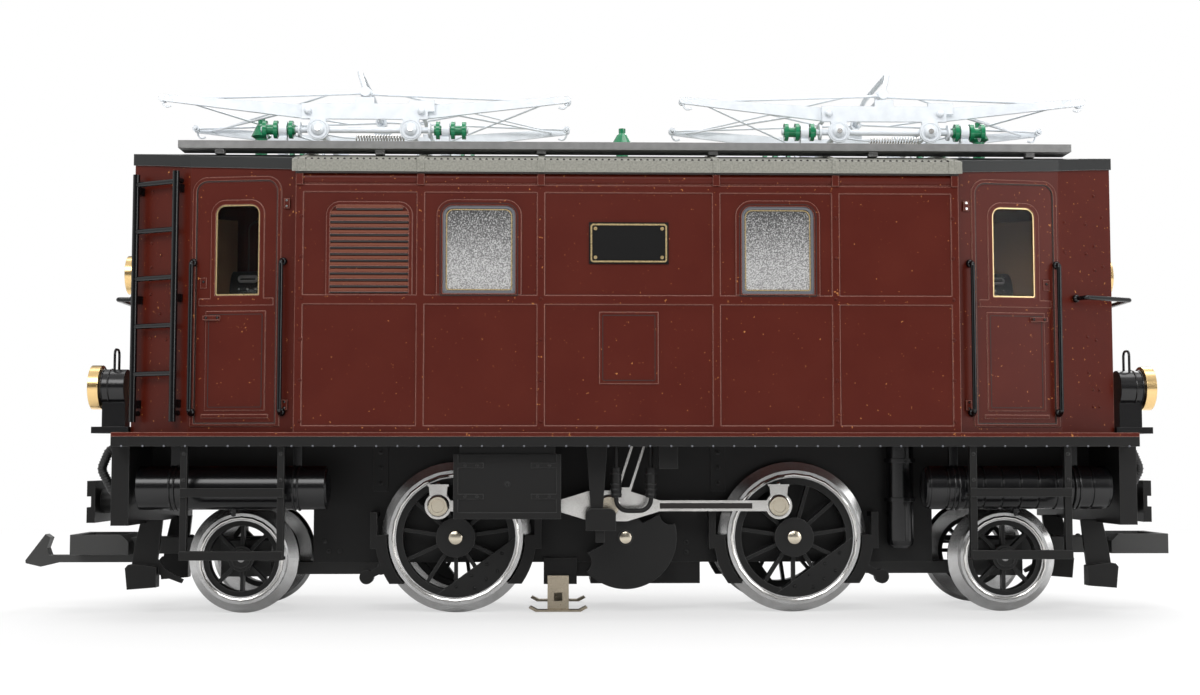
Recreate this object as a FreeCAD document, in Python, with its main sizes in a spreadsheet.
"""Rod-drive electric locomotive, a large-scale railway model with one pony axle at each end.

X runs along the track, the near side is -Y and Z is up. The origin is on the floor, under the
middle of the model. Sizes are millimetres and live in the sheet called Sizes.
"""
import FreeCAD, Part

import math
import os

import Sketcher
from FreeCAD import Placement, Rotation, Vector

SIZES = {
    # Wheels: diameters on the tread, flange heights and places along the track
    "driver_tread": 47.6, "driver_flange": 3.0, "driver_base": 60.3, "driver_hub": 14.0,
    "driver_spokes": 11, "driver_rim": 2.4,
    "pony_tread": 32.0, "pony_flange": 3.4, "pony_base": 136.0, "pony_hub": 9.0,
    "pony_spokes": 8, "pony_rim": 1.8,
    "back_to_back": 40.0, "tyre_width": 6.5, "flange_width": 1.6, "tyre_ring": 2.6,
    "axle": 4.0, "axle_end": 4.7, "running_gap": 0.05, "spoke": 1.3, "web": 3.0,
    # Cranks and rods
    "crank_throw": 12.8, "crank_turn": 118.0, "quarter": 90.0, "crank_pin": 6.0, "pin_gap": 0.1,
    "crank_web": 1.8, "web_gap": 0.8, "jack_disc": 36.4, "jack_hub": 16.0, "jack_notch": 4.0,
    "rod_depth": 2.4, "rod_height": 3.8, "rod_eye": 9.4, "rod_boss": 13.0, "boss_reach": 18.0,
    "rod_flute": 0.7, "flute_edge": 0.9, "fork_rail": 0.9, "fork_foot": 3.5,
    "cup_height": 3.7, "cup_width": 6.7, "fork_lean": 72.0, "fork_top": 92.0,
    "fork_width": 5.2, "pin_head": 1.2,
    # Frame, deck and ends
    "plate_out": 17.0, "plate_thick": 2.0, "plate_half": 112.0, "plate_low": 17.5,
    "rail_low": 45.0, "deck_half": 174.0, "deck_width": 119.0, "deck_low": 62.2,
    "deck_thick": 1.4, "valance": 3.3, "valance_thick": 4.0, "beam_low": 32.0,
    "beam_half": 50.0, "beam_out": 2.0, "gear_low": 9.8, "gear_from": 12.2, "gear_to": 27.4,
    "gear_notch": 5.0, "notch_low": 12.4, "shoe_gap": 0.8, "shoe_thick": 4.0,
    "shoe_high": 27.6, "shoe_low": 10.4, "shoe_in": 22.4, "hanger": 1.8, "hanger_low": 22.8,
    "hanger_high": 35.8, "brake_boss": 5.0, "brake_boss_out": 31.6, "brake_boss_z": 12.8,
    "motor_low": 34.0, "motor_half": 46.0, "motor_high": 110.0, "slot_low": 2.0, "slot_high": 34.0,
    "slot_width": 9.0, "buffer_out": 21.0, "buffer_height": 15.2, "buffer_low": 31.5,
    "buffer_half": 11.0, "buffer_thick": 3.0, "buffer_stem": 9.0, "buffer_notch": 3.9,
    # Engine house and cabs
    "house_half": 113.5, "house_width": 114.0, "wall": 1.8, 
    "cab_back": 54.0, "cab_mid_in": 23.0, "cab_mid_width": 48.0, "cab_in": 0.6,
    "cab_end_width": 35.6, "strip": 2.6, "strip_thick": 0.5, "rib_inner": 30.0,
    "rib_outer": 71.0, "mid_rail_low": 107.2, "mid_rail_high": 110.3, "panel_top": 145.6,
    "plinth_top": 65.9, "cornice": 4.4, "cornice_low": 148.1,
    # Windows, grilles and plates of the engine house
    "window_at": 51.1, "window_width": 24.8, "window_low": 110.9, "window_high": 141.0,
    "surround": 2.0, "surround_thick": 0.7, "window_turn": 3.4, "glass": 1.0,
    "grille_at": 88.4, "grille_width": 26.8, "grille_edge": 1.2, "slats": 14, "slat_pitch": 2.2,
    "slat_thick": 0.9,
    "plate_width": 27.2, "plate_low_edge": 121.1, "plate_height": 14.3, "sign_thick": 0.6,
    "number_width": 20.0, "number_low": 80.2, "number_height": 24.4,
    # Cab doors and front
    "door_from": 120.5, "door_width": 28.4, "door_low": 67.0, "door_high": 150.0,
    "door_gap": 0.35, "door_glass_width": 15.7, "door_glass_low": 110.6,
    "door_glass_high": 142.0, "door_glass_in": 6.0, "door_panel": 0.4, "door_turn": 3.6,
    "door_frame": 1.6, "hinge_in": 0.9, "hinge_pin": 1.6, "knuckle": 5.0,
    "latch_long": 5.6, "latch_high": 1.4,
    "front_glass_at": 21.0, "front_glass_width": 15.0, "front_door_width": 20.0,
    "console_in": 29.3, "console_long": 12.8, "console_half": 14.0, "console_high": 124.0,
    # Roof
    "camber": 200.0, "crown": 165.4, "roof_thick": 4.1, "roof_over": 1.2, 
    "cab_roof_over": 0.6, "walk_half": 155.4, "walk_edge": 50.0, "walk_width": 12.5,
    "seat": 0.02, "walk_low": 161.9, "walk_thick": 2.65, "foot_inner": 30.0, "foot_middle": 86.2,
    "foot_outer": 141.6, "batten": 2.2, "batten_thick": 0.4,
    # Pantographs
    "panto_at": 93.4, "panto_span": 30.5, "arm_pivot_at": 20.2, "arm_pivot_z": 178.8,
    "knee_at": 72.6, "knee_z": 183.8, "bow_z": 186.4, "arm_root": 5.0, "arm_tip": 2.4,
    "arm_thick": 1.2, "tube": 1.2, "rod_wire": 1.0, "bow_top_z": 195.4, "bow_half": 24.0,
    "bow_in": 1.3, "bow_wire": 1.8, "bow_bend": 6.5, "stub": 5.0, "brace": 0.8,
    "brace_in": 6.0,
    "bow_lean": 3.0, "disc_at": 16.5, "disc_z": 172.2, "disc": 7.9, "side_plate": 5.6,
    "tab_high": 2.4, "tab_half": 3.4, "leg_wide": 7.0, "leg_foot": 4.6,
    "insulator_at": 29.0, "insulator": 6.4, "insulator_in": 4.2, "insulator_out": 7.4,
    "insulator_core": 3.6,
    "shed": 1.4, "clamp": 2.9, "side_edge": 2.4, "pivot_head": 2.6, "collar_at": 23.2,
    "collar": 5.6, "bell_at": 135.7, "bell_high": 16.8, "post_high": 13.8,
    "bell": 7.6, "bell_foot": 10.6, "bell_neck": 4.4, "bell_knob": 2.6, "side_gap": 0.5,
    "pivot_play": 1.0,
    # Lamps
    "lamp_side": 31.0, "lamp_z": 79.8, "lamp": 12.8, "lamp_rim": 15.6, "lamp_rim_thick": 3.6,
    "lamp_reach": 14.6, "lamp_stand": 2.4, "upper_lamp": 14.4, "upper_lamp_z": 123.0,
    "upper_lamp_reach": 10.6, "lamp_foot": 65.9, "lamp_glass": 1.6, "lamp_edge": 1.5,
    "lamp_handle": 0.9, "handle_half": 3.0, "handle_high": 7.0, "handle_in": 4.0,
    # Tanks, steps and boxes
    "tank": 15.1, "tank_side": 42.0, "tank_z": 44.7, "tank_from": 104.0, "tank_in": 6.0,
    "tank_rings": 6.3, "tank_groove": 0.9, "tank_step": 1.0, "vessel": 9.7, "vessel_at": 99.3,
    "vessel_side": 22.6, "vessel_low": 22.8, "vessel_ring": 11.2,
    "step_from": 117.5, "step_to": 150.0, "step_side": 57.0,
    "step_low": 20.7, "step_mid": 41.8, "step_bar": 2.3, "tread_deep": 6.0,
    "tread_thick": 3.0, "tread_sheet": 1.0, "box_from": 59.7, "box_to": 23.0, "box_low": 34.2,
    "box_high": 56.3, "box_side": 52.0, "box_deep": 12.0, "lid_edge": 1.6, "lid_thick": 0.5,
    "hinge_long": 8.6, "hinge_high": 1.7, "lid_hinge_high": 51.6, "lid_hinge_low": 41.0,
    "strap_at": 10.6, "strap_side": 45.0, "strap_wide": 7.6, "strap_tip": 4.1, "strap_thick": 1.6,
    "socket_at": 9.3, "socket_wide": 10.4, "socket_low": 30.0, "socket_high": 37.5,
    "socket_side": 47.4, "socket_deep": 5.6, "clip_at": 9.5, "clip_wide": 3.1, "clip_low": 25.9,
    "plug": 3.6, "plug_side": 45.0, "plug_near": 3.9, "plug_far": -8.1, "plug_low": 41.4,
    "plug_high": 51.7, "cable": 1.6, "cable_low": 36.8, "bracket_at": -13.9, "bracket_wide": 6.5,
    "bracket_low": 51.3, "bracket_side": 50.0,
    # Pickup skates, tied to the drivers' places
    "skate_back": 36.4, "skate_half": 10.5, "skate_flat": 8.0, "skate_side": 21.8,
    "skate_wide": 4.3, "skate_low": 0.3, "skate_tip": 1.6, "skate_sheet": 0.7, "skate_leaf": 3.8,
    "skate_window": 1.5, "skate_high": 10.0, "skate_box_from": 5.2, "skate_box_high": 19.2,
    "skate_box_out": 19.6,
    # Couplers and pony trucks
    "coupler_face": 200.2, "coupler_long": 21.0, "coupler_low": 20.1, "coupler_high": 27.3,
    "coupler_half": 13.0, "coupler_wall": 2.6, "coupler_chamfer": 2.6, "drawbar_half": 6.0,
    "drawbar_high": 26.0, "hook_bar_low": 16.8, "hook_bar_high": 19.4, "hook_half": 2.5,
    "truck_pivot": 95.0, "pivot_pin": 4.0, "cheek_in": 13.0, "cheek_out": 17.0,
    "tongue_half": 5.0,
    "guard_side": 23.0, "guard_half": 5.0, "guard_foot_in": 2.5, "guard_thick": 1.6,
    "guard_low": 8.7, "guard_high": 17.4, "guard_top_in": 5.8, "guard_wide": 7.6, "sweep_gap": 20.8,
    # Ladder and handrails
    "hand_bar": 1.6, "hand_low": 70.5, "hand_high": 122.0, "hand_off": 3.2,
    "ladder_low": 67.4, "ladder_high": 154.0, "ladder_rungs": 5, "ladder_pitch": 16.6,
    "ladder_first": 84.0, "ladder_rail": 2.4, "ladder_out": 3.0, "ladder_in": 4.2,
    "ladder_edge": 3.4, "rung": 1.8, "corner_out": 6.0, "corner_z": 110.8, "corner_bar": 1.6,
    "corner_foot": 7.0, "staple_in": 11.0, "staple_out": 33.0,
    # Brake hoses, measured from the end of the deck
    "hose": 3.0, "hose_side": 22.0, "hose_bend": 3.2, "hose_top": 58.5, "hose_knee": 51.0,
    "hose_low": 32.0,
}


class Size(float):
    """A length that also carries the formula tying it to the sheet."""

    def __new__(cls, value, text):
        size = float.__new__(cls, value)
        size.text = text
        return size

    def __add__(self, other):
        return joined(self, "+", other, float(self) + float(other))

    def __radd__(self, other):
        return joined(other, "+", self, float(other) + float(self))

    def __sub__(self, other):
        return joined(self, "-", other, float(self) - float(other))

    def __rsub__(self, other):
        return joined(other, "-", self, float(other) - float(self))

    def __mul__(self, other):
        return joined(self, "*", other, float(self) * float(other))

    def __rmul__(self, other):
        return joined(other, "*", self, float(other) * float(self))

    def __truediv__(self, other):
        return joined(self, "/", other, float(self) / float(other))

    def __neg__(self):
        return joined(-1, "*", self, -float(self))


def formula(value):
    """The text of a size or of a plain number."""
    return value.text if isinstance(value, Size) else repr(round(float(value), 9))


def joined(left, sign, right, value):
    return Size(value, "(" + formula(left) + " " + sign + " " + formula(right) + ")")


doc = FreeCAD.newDocument("Locomotive")
sheet = doc.addObject("Spreadsheet::Sheet", "Sizes")
for row, (alias, number) in enumerate(SIZES.items(), start=1):
    sheet.set("A" + str(row), alias)
    sheet.set("B" + str(row), str(number))
    sheet.setAlias("B" + str(row), alias)
doc.recompute()


class Sizes:
    """Each size of the sheet, as an attribute."""


s = Sizes()
for alias, number in SIZES.items():
    setattr(s, alias, Size(number, "Sizes." + alias))
s.cab_end = s.deck_half - s.cab_in
s.cab_mid = s.deck_half - s.cab_mid_in
s.tank_to = s.deck_half - s.tank_in
s.guard_foot = s.deck_half - s.guard_foot_in
s.guard_top = s.deck_half - s.guard_top_in
s.sweep_to = s.pony_base + s.sweep_gap
s.buffer_face = s.deck_half + s.buffer_out
s.lamp_face = s.cab_end + s.lamp_reach
s.upper_lamp_face = s.cab_end + s.upper_lamp_reach
s.skate_at = s.driver_base - s.skate_back

X, Y, Z = Vector(1, 0, 0), Vector(0, 1, 0), Vector(0, 0, 1)
TURNS = {"X": Rotation(Y, 90), "Y": Rotation(X, -90), "Z": Rotation()}
PLANES = {"X": "YZ_Plane", "Y": "XZ_Plane", "Z": "XY_Plane"}
NEAR, FAR = -1, 1
SIDES = (NEAR, FAR)
ENDS = (-1, 1)
SHEDS = (-2.8, 2.6, 6.5)
nodes = []


# ------------------------------------------------------------------ shapes
def bind(item, prop, value):
    """Give a property its value, and its formula where the value comes from the sheet."""
    if isinstance(value, Size):
        item.setExpression(prop, value.text)
    else:
        setattr(item, prop, float(value))


def place(item, x, y, z, rotation=Rotation()):
    item.Placement = Placement(Vector(x, y, z), rotation)
    for name, value in (("x", x), ("y", y), ("z", z)):
        if isinstance(value, Size):
            item.setExpression("Placement.Base." + name, value.text)
    return item


def box(x, y, z):
    """A block between two planes on each axis, in either order."""
    item = doc.addObject("Part::Box", "Block")
    for prop, ends in (("Length", x), ("Width", y), ("Height", z)):
        bind(item, prop, max(ends) - min(ends))
    return place(item, min(x), min(y), min(z))


def bar(axis, centre, diameter, ends):
    """A round bar along one axis; centre is its place on the other two."""
    item = doc.addObject("Part::Cylinder", "Bar")
    bind(item, "Radius", diameter / 2)
    bind(item, "Height", max(ends) - min(ends))
    spot = {"X": (min(ends),) + centre, "Y": (centre[0], min(ends), centre[1]),
            "Z": centre + (min(ends),)}[axis]
    return place(item, *spot, TURNS[axis])


def fuse(parts):
    if len(parts) == 1:
        return parts[0]
    item = doc.addObject("Part::MultiFuse", "Joined")
    item.Shapes = list(parts)
    return item


def cut(base, tools):
    item = doc.addObject("Part::Cut", "Trimmed")
    item.Base = base
    item.Tool = tools[0] if len(tools) == 1 else fuse(tools)
    return item


def common(first, second):
    item = doc.addObject("Part::Common", "Shared")
    item.Base = first
    item.Tool = second
    return item


def turned(item, origin, axis, angle):
    """The same shape turned about a line."""
    group = doc.addObject("Part::Compound", "Turned")
    group.Links = [item]
    spin = Rotation(axis, angle)
    group.Placement = Placement(origin - spin.multVec(origin), spin)
    return group


def node(label, parts):
    """Name a finished piece; several solids that don't touch share one compound."""
    item = parts
    if isinstance(parts, (list, tuple)):
        item = doc.addObject("Part::Compound", "Set")
        item.Links = list(parts)
    item.Label = label
    nodes.append(item)
    return item


def sketch_on(body, axis, name="Outline"):
    sketch = body.newObject("Sketcher::SketchObject", name)
    plane = next(f for f in body.Origin.OriginFeatures if f.Role == PLANES[axis])
    sketch.AttachmentSupport = [(plane, "")]
    sketch.MapMode = "FlatFace"
    return sketch


def draw(sketch, corners):
    """A closed outline of straight edges whose corners are tied to the sheet."""
    count = len(corners)
    for index in range(count):
        start, end = corners[index], corners[(index + 1) % count]
        sketch.addGeometry(Part.LineSegment(Vector(*start, 0), Vector(*end, 0)), False)
    for index in range(count):
        link = Sketcher.Constraint("Coincident", index, 2, (index + 1) % count, 1)
        sketch.addConstraint(link)
        for kind, value in zip(("DistanceX", "DistanceY"), corners[index]):
            spot = sketch.addConstraint(
                Sketcher.Constraint(kind, -1, 1, index, 1, float(value)))
            if isinstance(value, Size):
                sketch.setExpression("Constraints[" + str(spot) + "]", value.text)


def prism(axis, corners, ends):
    """An outline padded along one axis: (y, z), (x, z) or (x, y) corners for X, Y or Z."""
    body = doc.addObject("PartDesign::Body", "Plate")
    draw(sketch_on(body, axis), corners)
    pad = body.newObject("PartDesign::Pad", "Pad")
    pad.Profile = body.Group[0]
    pad.Reversed = axis == "Y"
    bind(pad, "Length", max(ends) - min(ends))
    body.Tip = pad
    low = min(ends)
    return place(body, *{"X": (low, 0, 0), "Y": (0, low, 0), "Z": (0, 0, low)}[axis])


def arched(x, y, z, turn):
    """A block across Y whose two upper corners are rounded."""
    left, right, low, high = min(x), max(x), min(z), max(z)
    parts = [box((left, right), y, (low, high - turn)),
             box((left + turn, right - turn), y, (low, high))]
    for spot in (left + turn, right - turn):
        parts.append(bar("Y", (spot, high - turn), turn * 2, y))
    item = fuse(parts)
    item.Refine = True
    return item


def upright(centre, base, corners):
    """An outline of (radius, height) corners turned about a vertical line at (x, y)."""
    item = ring((0, 0), corners)
    return place(item, centre[0], centre[1], base, Rotation(X, 90))


def ring(axis_y, corners):
    """An outline of (radius, y) corners turned about a cross-wise axle at (x, z)."""
    body = doc.addObject("PartDesign::Body", "Turned")
    sketch = sketch_on(body, "Z", "Profile")
    draw(sketch, corners)
    spun = body.newObject("PartDesign::Revolution", "Spun")
    spun.Profile = sketch
    spun.ReferenceAxis = (sketch, ["V_Axis"])
    spun.Angle = 360
    body.Tip = spun
    return place(body, axis_y[0], 0, axis_y[1])


def strut(start, end, diameter):
    """A straight round bar between two points."""
    item = doc.addObject("Part::Cylinder", "Strut")
    bind(item, "Radius", diameter / 2)
    item.Height = start.distanceToPoint(end)
    item.Placement = Placement(start, Rotation(Z, end - start))
    return item


def solid(shape):
    """A shape made directly where no primitive fits."""
    item = doc.addObject("Part::Feature", "Formed")
    item.Shape = shape
    return item


def pipe(points, diameter, bend):
    """A round wire along straight runs joined by arcs of one bend radius."""
    radius = float(diameter) / 2
    pieces = []
    last = points[0]
    for before, corner, after in zip(points, points[1:], points[2:]):
        back = (before - corner).normalize()
        ahead = (after - corner).normalize()
        half = back.getAngle(ahead) / 2
        enter = corner + back * (bend / math.tan(half))
        hub = corner + (back + ahead).normalize() * (bend / math.sin(half))
        disc = Part.Face(Part.Wire(Part.Circle(enter, back, radius).toShape()))
        turn = 180.0 - math.degrees(2 * half)
        pieces.append(Part.makeCylinder(radius, last.distanceToPoint(enter), last, -back))
        pieces.append(disc.revolve(hub, ahead.cross(back), turn))
        last = corner + ahead * (bend / math.tan(half))
    pieces.append(Part.makeCylinder(radius, last.distanceToPoint(points[-1]), last, points[-1] - last))
    return solid(pieces[0].multiFuse(pieces[1:]).removeSplitter())


# ------------------------------------------------------------------ wheels
driver_z = s.driver_tread / 2 + s.driver_flange
pony_z = s.pony_tread / 2 + s.pony_flange
tyre_back = s.back_to_back / 2
tyre_front = tyre_back + s.tyre_width
crank_y = tyre_front + s.crank_web
rod_back = crank_y + s.web_gap
rod_front = rod_back + s.rod_depth


def crank_spot(side):
    """Where a crank pin lies from its axle; the far side leads by a quarter."""
    angle = math.radians(float(s.crank_turn) - (float(s.quarter) if side == FAR else 0.0))
    return float(s.crank_throw) * math.cos(angle), float(s.crank_throw) * math.sin(angle)


def tyre(x, z, side, tread, flange):
    radius = tread / 2
    inner = radius - s.tyre_ring
    y = [side * tyre_back, side * (tyre_back + s.flange_width), side * tyre_front]
    return ring((x, z), [(inner, y[0]), (radius + flange * 0.6, y[0]), (radius + flange, y[0] + side * 0.5),
                         (radius + flange, y[1] - side * 0.3), (radius, y[1] + side * 0.6),
                         (radius, y[2]), (inner, y[2])])


def centre(x, z, side, tread, hub, rim, spokes, first):
    """Hub, straight spokes and rim of one wheel, seated inside its tyre."""
    outer = tread / 2 - s.tyre_ring
    inner = outer - rim
    y = (side * (tyre_back + 0.6), side * (tyre_front - 0.8))
    spoke_y = (side * (tyre_back + 1.6), side * (tyre_back + 1.6 + s.web))
    parts = [ring((x, z), [(inner, y[0]), (outer, y[0]), (outer, y[1]), (inner, y[1])])]
    parts.append(bar("Y", (x, z), hub, (side * tyre_back, side * (tyre_front + 0.6))))
    for index in range(int(spokes)):
        spoke = box((x - s.spoke / 2, x + s.spoke / 2), spoke_y, (z + hub / 4, z + inner + rim / 2))
        angle = first + 360.0 * index / int(spokes)
        parts.append(turned(spoke, Vector(x, 0, z), Y, 90 - angle))
    return parts


def segment(x, z, side, radius, chord, angle):
    """A counterweight: the part of a disc beyond a chord, towards an angle."""
    y = (side * (tyre_back + 1.2), side * (tyre_front - 0.6))
    disc = bar("Y", (x, z), radius * 2, y)
    keep = box((x + chord, x + radius * 2), y, (z - radius * 2, z + radius * 2))
    return common(disc, turned(keep, Vector(x, 0, z), Y, -angle))


def crank(x, z, side, parts):
    """Boss, pin and pin head for one crank."""
    dx, dz = crank_spot(side)
    parts.append(bar("Y", (x + dx, z + dz), s.rod_eye, (side * (tyre_back + s.web), side * crank_y)))
    parts.append(bar("Y", (x + dx, z + dz), s.crank_pin - s.pin_gap * 2,
                     (side * (crank_y - 0.5), side * (rod_front + s.pin_gap))))
    parts.append(bar("Y", (x + dx, z + dz), s.crank_pin + 1.0,
                     (side * (rod_front + s.pin_gap), side * (rod_front + s.pin_head))))


def driver(name, x):
    tyres = [tyre(x, driver_z, side, s.driver_tread, s.driver_flange) for side in SIDES]
    node(name + "_tyres", tyres)
    parts = [bar("Y", (x, driver_z), s.axle, (-tyre_back - 1, tyre_back + 1))]
    for side in SIDES:
        lead = float(s.crank_turn) - (float(s.quarter) if side == FAR else 0.0)
        parts += centre(x, driver_z, side, s.driver_tread, s.driver_hub, s.driver_rim,
                        s.driver_spokes, lead + 152.0)
        parts.append(segment(x, driver_z, side, s.driver_tread / 2 - s.tyre_ring - 0.2,
                             s.driver_hub - 1.6, lead - 172.0))
        parts.append(bar("Y", (x, driver_z), s.axle_end,
                         (side * tyre_front, side * (tyre_front + 1.4))))
        crank(x, driver_z, side, parts)
    node(name + "_centres", fuse(parts))


def pony(name, x):
    tyres = [tyre(x, pony_z, side, s.pony_tread, s.pony_flange) for side in SIDES]
    node(name + "_tyres", tyres)
    parts = [bar("Y", (x, pony_z), s.axle, (-tyre_back - 1, tyre_back + 1))]
    for side in SIDES:
        parts += centre(x, pony_z, side, s.pony_tread, s.pony_hub, s.pony_rim, s.pony_spokes, 90.0)
    node(name + "_centres", fuse(parts))


def jackshaft():
    """Shaft under the middle: a crank with a counterweight and two notches on each side."""
    parts = [bar("Y", (0, driver_z), s.axle * 1.5, (-tyre_front, tyre_front))]
    for side in SIDES:
        dx, dz = crank_spot(side)
        lead = math.degrees(math.atan2(dz, dx))
        y = (side * (tyre_front - 2.0), side * crank_y)
        disc = bar("Y", (0, driver_z), s.jack_disc, y)
        keep = box((-s.jack_disc, s.jack_hub * 0.1), y, (driver_z - s.jack_disc, driver_z + s.jack_disc))
        weight = common(disc, turned(keep, Vector(0, 0, driver_z), Y, -lead))
        notches = []
        for swing in (-90.0, 90.0):
            angle = math.radians(lead + 180.0 + swing)
            reach = float(s.jack_disc) / 2
            notches.append(bar("Y", (reach * math.cos(angle), driver_z + reach * math.sin(angle)),
                               s.jack_notch * 2, (side * (tyre_front - 3.0), side * (crank_y + 1))))
        parts.append(cut(weight, notches))
        parts.append(bar("Y", (0, driver_z), s.jack_hub, y))
        parts.append(bar("Y", (0, driver_z), s.axle_end + 0.6, (side * tyre_front, side * (crank_y + 0.5))))
        arm = box((0, s.crank_throw), y, (driver_z - s.rod_eye / 2, driver_z + s.rod_eye / 2))
        parts.append(turned(arm, Vector(0, 0, driver_z), Y, -lead))
        crank(0, driver_z, side, parts)
    node("jackshaft", fuse(parts))


def rods(name, side):
    """Coupling rod with three eyes, oil cups and the fork that rises to the motor."""
    dx, dz = crank_spot(side)
    z = driver_z + dz
    y = (side * rod_back, side * rod_front)
    spots = [-s.driver_base + dx, dx, s.driver_base + dx]
    half = s.rod_height / 2
    parts = [box((spots[0], spots[2]), y, (z - half, z + half))]
    for x in (spots[0], spots[2]):
        parts.append(bar("Y", (x, z), s.rod_eye, y))
        top = z + s.rod_eye / 2 + s.cup_height - 1.0
        parts.append(prism("Y", [(x - s.cup_width / 2.6, z), (x + s.cup_width / 2.6, z),
                                 (x + s.cup_width / 2, top), (x - s.cup_width / 2, top)], y))
    middle = spots[1]
    boss, swell = s.rod_boss / 2, s.rod_boss / 2.4
    parts.append(prism("Y", [(middle - s.boss_reach, z - half), (middle - boss, z - swell),
                             (middle + boss, z - swell), (middle + s.boss_reach, z - half),
                             (middle + s.boss_reach, z + half), (middle + boss, z + swell),
                             (middle - boss, z + swell), (middle - s.boss_reach, z + half)], y))
    lean = 1.0 / math.tan(math.radians(float(s.fork_lean)))
    foot, wide = middle + s.fork_foot, s.fork_width / 2
    high = s.fork_top - z
    parts.append(prism("Y", [(foot - wide, z), (foot + wide, z), (foot + wide + high * lean, s.fork_top),
                             (foot - wide + high * lean, s.fork_top)], y))
    holes = [bar("Y", (x, z), s.crank_pin, (side * (rod_back - 1), side * (rod_front + 1)))
             for x in spots]
    flute = (side * (rod_front - s.rod_flute), side * (rod_front + 1))
    for low, high_x in ((spots[0] + s.rod_eye, spots[1] - s.boss_reach),
                        (spots[1] + s.boss_reach, spots[2] - s.rod_eye)):
        holes.append(box((low, high_x), flute, (z - half + s.flute_edge, z + half - s.flute_edge)))
    gap = wide - s.fork_rail
    start, stop = s.rod_boss / 2, high - 2.0
    holes.append(prism("Y", [(foot - gap + start * lean, z + start), (foot + gap + start * lean, z + start),
                             (foot + gap + stop * lean, z + stop), (foot - gap + stop * lean, z + stop)],
                       (side * (rod_back - 1), side * (rod_front + 1))))
    node(name, cut(fuse(parts), holes))


for end, word in ((-1, "left"), (1, "right")):
    driver("driver_" + word, end * s.driver_base)
    pony("pony_" + word, end * s.pony_base)
jackshaft()
rods("rods_near", NEAR)
rods("rods_far", FAR)


# ------------------------------------------------------------------ frame
plate_in = s.plate_out - s.plate_thick
deck_top = s.deck_low + s.deck_thick
valance_low = s.deck_low - s.valance


def brake(axle_x, offset, outer):
    """A shoe against each tread of an axle, its hanger and, outside, the pull-rod's boss."""
    radius = s.driver_tread / 2 + s.shoe_gap
    reach = radius + s.shoe_thick
    parts = []
    for side in SIDES:
        y = (side * s.shoe_in, side * (tyre_front - 0.6))
        disc = bar("Y", (axle_x, driver_z), reach * 2, y)
        tread = bar("Y", (axle_x, driver_z), radius * 2, (side * tyre_back, side * tyre_front))
        keep = box((axle_x + offset * s.driver_tread / 4, axle_x + offset * (reach + 1)), y,
                   (s.shoe_low, s.shoe_high))
        parts.append(common(cut(disc, [tread]), keep))
        hang = (axle_x + offset * (reach - 0.6), axle_x + offset * (reach + s.hanger))
        parts.append(box(hang, y, (s.hanger_low, s.hanger_high)))
        parts.append(box(hang, (side * plate_in, side * (tyre_front - 0.6)),
                         (s.hanger_high - s.hanger, s.hanger_high)))
        if outer:
            x, z = axle_x + offset * s.brake_boss_out, s.brake_boss_z
            link = s.brake_boss / 4
            parts.append(bar("Y", (x, z), s.brake_boss, y))
            parts.append(prism("Y", [(x, z - link), (x, z + link),
                                     (axle_x + offset * (reach - 3.0), z + s.brake_boss),
                                     (axle_x + offset * (reach - 4.6), z + s.brake_boss / 2)], y))
    return parts


def frame():
    """Two inside plates, upper rails to the beams, stretchers, gearbox and brake gear."""
    parts, holes = [], []
    for side in SIDES:
        y = (side * plate_in, side * s.plate_out)
        parts.append(box((-s.plate_half, s.plate_half), y, (s.plate_low, s.deck_low)))
        for end in ENDS:
            parts.append(box((end * s.plate_half, end * (s.deck_half - s.valance_thick)), y,
                             (s.rail_low, s.deck_low)))
    for x in (s.plate_half - 3, s.driver_base - 30.0):
        for end in ENDS:
            parts.append(box((end * x - 1.5, end * x + 1.5), (-plate_in, plate_in),
                             (s.plate_low, s.motor_low - 1)))
    for x, size in ((-s.driver_base, s.axle), (0, s.axle * 1.5), (s.driver_base, s.axle)):
        holes.append(bar("Y", (x, driver_z), size + s.running_gap * 2,
                         (-s.plate_out - 1, s.plate_out + 1)))
    notch, wide = s.gear_from + s.gear_notch, s.plate_out - 0.5
    parts.append(box((-s.gear_from, s.gear_to), (-wide, wide), (s.gear_low, s.plate_low)))
    parts.append(box((-notch, -s.gear_from), (-wide, wide), (s.notch_low, s.plate_low)))
    parts.append(box((-s.skate_at - s.skate_box_from, -notch), (-s.skate_box_out, s.skate_box_out),
                     (s.gear_low, s.skate_box_high)))
    for end in ENDS:
        parts.append(box((end * (s.truck_pivot - 8), end * (s.truck_pivot + 12)), (-plate_in, plate_in),
                         (s.plate_low, s.plate_low + 3)))
        parts.append(bar("Z", (end * s.truck_pivot, 0), s.pivot_pin, (s.plate_low - 6, s.plate_low + 1)))
        for offset in (-1, 1):
            parts += brake(end * s.driver_base, offset, offset == end)
    node("frame", cut(fuse(parts), holes))


def motor():
    """The drive motor as one plain block between the plates, up into the house."""
    node("motor", box((-s.motor_half, s.motor_half), (-plate_in, plate_in), (s.motor_low, s.motor_high)))


def deck():
    half = s.deck_width / 2
    plate = box((-s.deck_half, s.deck_half), (-half, half), (s.deck_low, deck_top))
    holes = [box((-s.motor_half - 1, s.motor_half + 1), (-plate_in - 1, plate_in + 1),
                 (s.deck_low - 1, deck_top + 1))]
    middle = (rod_back + rod_front) / 2
    for side in SIDES:
        y = (side * (middle - s.slot_width / 2), side * (middle + s.slot_width / 2))
        holes.append(box((-s.slot_low, s.slot_high), y, (s.deck_low - 1, deck_top + 1)))
    node("deck", cut(plate, holes))


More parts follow.
